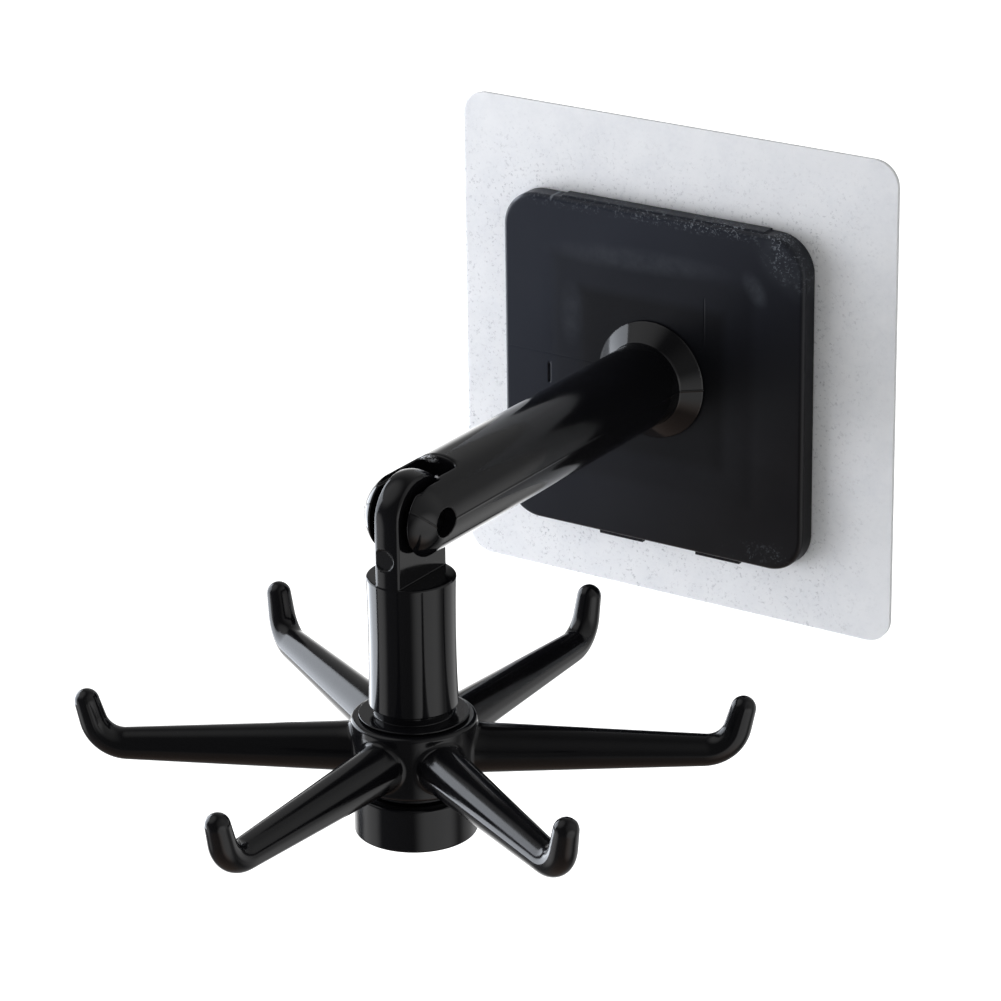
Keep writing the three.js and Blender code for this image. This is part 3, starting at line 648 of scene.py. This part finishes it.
# Steel: the washer and both self-tapping screws are zinc plated, and the hinge pin is plated
# black, so that its hole looks empty. They are turned or stamped, then pressed or screwed in.
def plated(name, first, second):
    """Plated steel: a slightly blurred mirror, with drawing marks that are coarser than real."""
    made = bpy.data.materials.new(name)
    tree = blank_tree(made)
    drawn = mottle(tree, 1.2, 3, 0.6, stretch=(0.2, 1, 1))
    colour = add(tree, "ShaderNodeMix", {
        "Factor": drawn, "A": linear(first), "B": linear(second)}, data_type="RGBA")
    rough = add(tree, "ShaderNodeMapRange", {
        "Value": drawn, "From Min": 0.3, "From Max": 0.7, "To Min": 0.25, "To Max": 0.4})
    scored = add(tree, "ShaderNodeBump", {
        "Height": drawn, "Distance": 0.004 * MM, "Strength": 0.4})
    body = add(tree, "ShaderNodeBsdfPrincipled", {
        "Base Color": colour, "Metallic": 1.0, "Roughness": rough, "Normal": scored})
    add(tree, "ShaderNodeOutputMaterial", {"Surface": body})
    return made


zinc = plated("zinc_plated_steel", "#8E9196", "#B9BBBE")
for solid in ("arm_washer", "arm_screw", "cap_screw"):
    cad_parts[solid].material_slots[0].material = zinc
black_zinc = plated("black_zinc_plated_steel", "#1C1D1F", "#2C2D30")
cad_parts["hinge_pin"].material_slots[0].material = black_zinc


# Column: one polished ABS moulding of a flat tongue with the pin's hole, a round body with a
# slight waist, a groove above a thin flange, and the star's shaft. The ejector left a round
# mark on the tongue. Sizes are in millimetres, and heights are counted from the pin.
COLUMN_RADIUS, WAIST_DEPTH, SHOULDER, BODY_END = 6.8, 0.15, -9.6, -30.5
GROOVE_RADIUS, GROOVE_SPAN = 6, (-32, -30)
FLANGE_RADIUS, FLANGE_SPAN = 8.4, (-32.2, -31.9)
SHAFT_RADIUS, SHAFT_TOP, SHAFT_END, CAP_SCREW_END = 4, -31, -46.8, -36.4
TONGUE_HALF, TONGUE_REACH, TONGUE_END = 2.15, 6.9, -12
EJECTOR_PLACE, EJECTOR_RADIUS, EJECTOR_FLOOR = (-0.3, -5.2), 1.7, -6.42


def level_span(z, span):
    """Distance to the slice between two heights."""
    return np.abs(z - (span[0] + span[1]) / 2) - (span[1] - span[0]) / 2


def column_distance(x, y, z):
    """Distance to the column's surface in millimetres, negative inside the plastic."""
    y = y - PIN
    off_axis = np.hypot(x, y)
    along_body = level_span(z, (BODY_END, SHOULDER))
    half_body = (SHOULDER - BODY_END) / 2
    waist = WAIST_DEPTH * np.clip(1 - (along_body / half_body + 1) ** 2, 0, 1)
    body = round_and(off_axis - COLUMN_RADIUS + waist, along_body, 0.35)
    neck = np.maximum(off_axis - GROOVE_RADIUS, level_span(z, GROOVE_SPAN))
    flange = round_and(off_axis - FLANGE_RADIUS, level_span(z, FLANGE_SPAN), 0.08)
    body = round_or(round_or(body, neck, 0.12), flange, 0.12)
    shaft = round_and(off_axis - SHAFT_RADIUS, SHAFT_END - z, 0.15)
    shaft = np.maximum(shaft, z - SHAFT_TOP)
    crown = np.minimum(x * x, 4.5) / 9  # the tongue's end is domed across, by up to 0.5 mm
    over_pin = np.hypot(y, np.maximum(z, 0)) - TONGUE_REACH + crown
    tongue = round_and(np.abs(x) - TONGUE_HALF, off_axis - COLUMN_RADIUS, 0.4)
    tongue = np.maximum(round_and(tongue, over_pin, 0.4), TONGUE_END - z)
    whole = np.minimum(np.minimum(body, shaft), tongue)
    whole = np.maximum(whole, -np.maximum(off_axis - SCREW_HOLE_RADIUS, z - CAP_SCREW_END))
    ejector = np.hypot(x - EJECTOR_PLACE[0], z - EJECTOR_PLACE[1]) - EJECTOR_RADIUS
    whole = round_and(whole, -np.maximum(ejector, y - EJECTOR_FLOOR), 0.08)
    return round_and(whole, PIN_HOLE_RADIUS - np.hypot(y, z), 0.2)


# The grid is fine at the tongue's edges, its front, the groove, the flange and the shoulder.
column = skin(
    "pinned_column", column_distance,
    ruler(-8.7, 0.3, -2.4, 0.12, -1.2, 0.3, 1.2, 0.12, 2.4, 0.3, 8.7),
    ruler(-81.7, 0.3, -80.2, 0.1, -79.0, 0.3, -64.3),
    ruler(-47.2, 0.4, -46.2, 3, -37, 0.4, -36, 1.2, -32.4, 0.1, -30.1,
          1.5, -10.6, 0.14, -9.2, 0.24, 7.2))
finish_as(column, gloss, "hinged_column", "column")


# Hook star: one ABS moulding of a hub and six tapered hooks with upturned, rounded ends, which
# turns on the column's shaft. One sixth of it is modelled, and six copies are welded together.
# Sizes are in millimetres, heights from the pin and lengths from the shaft's axis.
HUB_RADIUS, HUB_TOP, HUB_BOTTOM, HUB_EDGE, BORE_RADIUS = 9.6, -32.45, -42.75, 0.6, 4.25
HOOK_LEVEL, HOOK_ROOT, HOOK_AT_BEND, HOOK_TIP = -37.8, 8.5, 5, 3.9
BEND_START, BEND_RADIUS, BEND_TURN, TIP_LENGTH = 43.8, 5.2, math.radians(75), 3.2
BEND_LENGTH = BEND_RADIUS * BEND_TURN
SIDES = 64  # points round a hook


def hook_place(along):
    """Centre of a hook at a length along it, as distance out and height, and its slant."""
    bent = min(max((along - BEND_START) / BEND_RADIUS, 0), BEND_TURN)
    past = max(0, along - BEND_START - BEND_LENGTH)
    out = min(along, BEND_START) + BEND_RADIUS * math.sin(bent) + past * math.cos(BEND_TURN)
    up = BEND_RADIUS * (1 - math.cos(bent)) + past * math.sin(BEND_TURN)
    return out, up, bent


def hook_radius(along):
    """Half of a hook's thickness, which tapers to the bend, and more slowly to the tip."""
    if along < BEND_START:
        return (HOOK_ROOT + (HOOK_AT_BEND - HOOK_ROOT) * along / BEND_START) / 2
    share = (along - BEND_START) / (BEND_LENGTH + TIP_LENGTH)
    return (HOOK_AT_BEND + (HOOK_TIP - HOOK_AT_BEND) * share) / 2


def fillet(angle):
    """Radius of the corner between hub and hook, which is larger on top."""
    return 0.55 + 0.15 * math.sin(angle)


def star_sixth():
    """Points and faces of one hook with its slice of the hub, from -30 to 30 degrees."""
    points, faces = [], []
    angles = [2 * math.pi * i / SIDES for i in range(SIDES)]
    eighth = SIDES // 8

    def lay(ring):
        points.extend(ring)
        return list(range(len(points) - len(ring), len(points)))

    def join(first, second, closed=True):
        count = len(first)
        for i in range(count if closed else count - 1):
            k = (i + 1) % count
            faces.append((first[i], first[k], second[k], second[i]))

    # The hub's wall: rings that change from the slice's four sides to the foot of the fillet.
    middle = (HUB_TOP + HUB_BOTTOM) / 2
    half_height = (HUB_TOP - HUB_BOTTOM) / 2 - HUB_EDGE
    outline = []
    for i in range(SIDES):
        side, step = divmod((i + eighth) % SIDES, 2 * eighth)
        share = step / eighth - 1
        outline.append([(30, share), (-share * 30, 1), (-30, -share), (share * 30, -1)][side])
    root = hook_radius(HUB_RADIUS)
    rings = []
    for share in (1, 0.86, 0.6, 0.3, 0):
        ring = []
        for angle, (to_turn, to_height) in zip(angles, outline):
            wide = (root + fillet(angle)) * math.cos(angle)
            turn = math.degrees(math.asin(wide / HUB_RADIUS))
            height = HOOK_LEVEL + (root + fillet(angle)) * math.sin(angle)
            turn = math.radians(turn + (to_turn - turn) * share)
            ring.append((HUB_RADIUS * math.cos(turn), HUB_RADIUS * math.sin(turn),
                         height + (middle + to_height * half_height - height) * share))
        rings.append(lay(ring))

    # The fillet, from the wall to the hook.
    for step in range(1, 6):
        bend = math.pi / 2 * step / 5
        ring = []
        for angle in angles:
            reach = root + fillet(angle) * (1 - math.sin(bend))
            wide = reach * math.cos(angle)
            wall = math.sqrt(HUB_RADIUS ** 2 - wide ** 2)
            ring.append((wall + fillet(angle) * (1 - math.cos(bend)), wide,
                         HOOK_LEVEL + reach * math.sin(angle)))
        rings.append(lay(ring))

    # The hook, with a fine parting ridge along both sides, and its round end.
    stations = [11.6, 14, 18, 24, 30, 36, 40, 42, 43, BEND_START]
    stations += [BEND_START + BEND_LENGTH * i / 14 for i in range(1, 15)]
    stations += [BEND_START + BEND_LENGTH + TIP_LENGTH * i / 4 for i in range(1, 5)]
    tip = HOOK_TIP / 2
    shaft = [(along, hook_radius(along), 0) for along in stations]
    end = [(stations[-1], tip * math.cos(math.pi / 2 * i / 8), tip * math.sin(math.pi / 2 * i / 8))
           for i in range(1, 8)]
    for along, radius, beyond in shaft + end:
        out, up, bent = hook_place(along)
        ring = []
        for angle in angles:
            ridge = 0.05 * math.exp(-(math.sin(angle) * 22) ** 2) if radius > 1.5 else 0
            wide, lift = (radius + ridge) * math.cos(angle), radius * math.sin(angle)
            ring.append((out + beyond * math.cos(bent) - lift * math.sin(bent), wide,
                         HOOK_LEVEL + up + beyond * math.sin(bent) + lift * math.cos(bent)))
        rings.append(lay(ring))
    for first, second in zip(rings, rings[1:]):
        join(first, second)
    out, up, bent = hook_place(stations[-1])
    pole = lay([(out + tip * math.cos(bent), 0, HOOK_LEVEL + up + tip * math.sin(bent))])[0]
    last = rings[-1]
    for i in range(SIDES):
        faces.append((last[i], last[(i + 1) % SIDES], pole))

    # The hub's round edges, its flat top and bottom, and its bore, with a small chamfer.
    bends = [math.pi / 2 * i / 6 for i in range(1, 7)]
    upper = [(HUB_RADIUS - HUB_EDGE * (1 - math.cos(a)), HUB_TOP - HUB_EDGE * (1 - math.sin(a)))
             for a in bends]
    upper += [(8.85, HUB_TOP), (6.5, HUB_TOP), (4.6, HUB_TOP)]
    upper += [(BORE_RADIUS + wide, HUB_TOP - deep)
              for wide, deep in ((0.2, 0), (0.06, 0.06), (0, 0.2), (0, 0.4))]
    lower = [(radius, 2 * middle - height) for radius, height in reversed(upper)]
    turns = [math.radians(30 - 60 * i / (2 * eighth)) for i in range(2 * eighth + 1)]
    previous = rings[0][eighth:3 * eighth + 1]
    for radius, height in upper + lower:
        row = lay([(radius * math.cos(a), radius * math.sin(a), height) for a in turns])
        join(row, previous, closed=False)
        previous = row
    bottom = [rings[0][i % SIDES] for i in range(7 * eighth, 5 * eighth - 1, -1)]
    join(bottom, previous, closed=False)
    return points, faces


def copies_round_shaft(count, material):
    """Geometry Nodes tree that turns copies of a slice round the shaft and welds them."""
    tree = bpy.data.node_groups.new("copies_round_shaft", "GeometryNodeTree")
    face = tree.interface
    face.new_socket("Geometry", in_out="INPUT", socket_type="NodeSocketGeometry")
    number = face.new_socket("Count", in_out="INPUT", socket_type="NodeSocketInt")
    weld = face.new_socket("Weld", in_out="INPUT", socket_type="NodeSocketFloat")
    face.new_socket("Geometry", in_out="OUTPUT", socket_type="NodeSocketGeometry")
    given = add(tree, "NodeGroupInput").outputs
    spots = add(tree, "GeometryNodeMeshLine", {"Count": given["Count"], "Offset": (0, 0, 0)})
    index = add(tree, "GeometryNodeInputIndex")
    share = add(tree, "ShaderNodeMath", {0: index, 1: given["Count"]}, operation="DIVIDE")
    angle = add(tree, "ShaderNodeMath", {0: share, 1: 2 * math.pi}, operation="MULTIPLY")
    turn = add(tree, "ShaderNodeCombineXYZ", {"Z": angle})
    placed = add(tree, "GeometryNodeInstanceOnPoints", {
        "Points": spots, "Instance": given["Geometry"], "Rotation": turn})
    real = add(tree, "GeometryNodeRealizeInstances", {0: placed})
    welded = add(tree, "GeometryNodeMergeByDistance", {0: real, "Distance": given["Weld"]})
    smooth = add(tree, "GeometryNodeSetShadeSmooth", {0: welded})
    dressed = add(tree, "GeometryNodeSetMaterial", {0: smooth, "Material": material})
    add(tree, "NodeGroupOutput", {0: dressed})
    return tree, {number.identifier: count, weld.identifier: 0.01 * MM}


def made_by(tree, inputs, start):
    """Runs a Geometry Nodes tree on an object, and leaves its result as a plain mesh."""
    modifier = start.modifiers.new(tree.name, "NODES")
    modifier.node_group = tree
    for identifier, value in inputs.items():
        modifier[identifier] = value
    start.update_tag()
    bpy.context.view_layer.update()
    evaluated = start.evaluated_get(bpy.context.evaluated_depsgraph_get())
    result = bpy.data.meshes.new_from_object(evaluated)
    start.modifiers.remove(modifier)
    start.data = result
    return start


# The star's mould is polished less than the arm's, so its highlights are wider and softer.
semi_gloss = polished_black("semi_gloss_black_abs", (0.12, 0.19))
points, faces = star_sixth()
slice_mesh = bpy.data.meshes.new("star_slice")
slice_mesh.from_pydata([(x * MM, y * MM, z * MM) for x, y, z in points], [], faces)
star = made_by(*copies_round_shaft(6, semi_gloss), piece("hook_star_moulding", slice_mesh))
star.data.transform(
    Matrix.Translation((0, PIN * MM, 0)) @ Matrix.Rotation(math.radians(-90), 4, "Z"))
finish_as(star, semi_gloss, "spinning_star", "hook_star")


# Spacer and end cap: a moulded nylon washer fills most of the gap under the hub, and a plain
# round ABS cap is screwed to the shaft from below. Both are round, with small round edges.
SPACER_RADIUS, SPACER_TOP, SPACER_BOTTOM = 7.5, -43.0, -43.95
CAP_RADIUS, CAP_TOP, CAP_BOTTOM = 9.45, -44.2, -51.25
RECESS_RADIUS, RECESS_TOP, SCREW_PASSAGE = 5.25, -48.4, 1.8


def turned(name, outline, steps=128):
    """A closed outline of radius and height in millimetres, turned about the column's axis.

    Each corner of the outline gives its own rounding as its third number.
    """
    profile = []
    for i, (radius, height, edge) in enumerate(outline):
        corner = np.array((radius, height))
        before = np.array(outline[i - 1][:2]) - corner
        after = np.array(outline[(i + 1) % len(outline)][:2]) - corner
        before = before / np.linalg.norm(before)
        after = after / np.linalg.norm(after)
        if not edge:
            profile.append(corner)
            continue
        centre = corner + (before + after) * edge
        past = edge * 1.5  # a point just past the rounding keeps the flats evenly shaded
        profile.append(corner + before * past)
        for bend in (math.pi / 2 * step / 6 for step in range(7)):
            profile.append(centre - after * edge * math.cos(bend) - before * edge * math.sin(bend))
        profile.append(corner + after * past)
    points, faces = [], []
    for angle in (2 * math.pi * i / steps for i in range(steps)):
        points.extend((r * math.cos(angle) * MM, (r * math.sin(angle) + PIN) * MM, h * MM)
                      for r, h in profile)
    size = len(profile)
    for i in range(steps):
        k = (i + 1) % steps
        for j in range(size):
            m = (j + 1) % size
            faces.append((i * size + j, k * size + j, k * size + m, i * size + m))
    mesh = bpy.data.meshes.new(name)
    mesh.from_pydata(points, [], faces)
    mesh.polygons.foreach_set("use_smooth", [True] * len(mesh.polygons))
    mesh.set_sharp_from_angle(angle=math.radians(50))
    return piece(name, mesh)


# Black nylon looks dull and slightly foggy beside the polished ABS.
nylon = bpy.data.materials.new("moulded_nylon")
tree = blank_tree(nylon)
fog = mottle(tree, 2)
black = add(tree, "ShaderNodeMix", {
    "Factor": fog, "A": linear("#101113"), "B": linear("#17181A")}, data_type="RGBA")
rough = add(tree, "ShaderNodeMapRange", {
    "Value": fog, "From Min": 0.3, "From Max": 0.7, "To Min": 0.45, "To Max": 0.6})
grain = add(tree, "ShaderNodeBump", {
    "Height": mottle(tree, 0.5), "Distance": 0.005 * MM, "Strength": 0.4})
body = add(tree, "ShaderNodeBsdfPrincipled", {
    "Base Color": black, "Roughness": rough, "IOR": 1.53, "Normal": grain})
add(tree, "ShaderNodeOutputMaterial", {"Surface": body})

spacer = turned("nylon_spacer", [
    (BORE_RADIUS, SPACER_BOTTOM, 0.1), (SPACER_RADIUS, SPACER_BOTTOM, 0.15),
    (SPACER_RADIUS, SPACER_TOP, 0.15), (BORE_RADIUS, SPACER_TOP, 0.1)])
finish_as(spacer, nylon, "hinged_column", "spacer_washer")

cap = turned("round_end_cap", [
    (SCREW_PASSAGE, RECESS_TOP, 0), (RECESS_RADIUS, RECESS_TOP, 0.2),
    (RECESS_RADIUS, CAP_BOTTOM, 0.25), (CAP_RADIUS, CAP_BOTTOM, 0.4),
    (CAP_RADIUS, CAP_TOP, 0.4), (BORE_RADIUS, CAP_TOP, 0.2),
    (BORE_RADIUS, SHAFT_END, 0.1), (SCREW_PASSAGE, SHAFT_END, 0)])
finish_as(cap, gloss, "hinged_column", "end_cap")
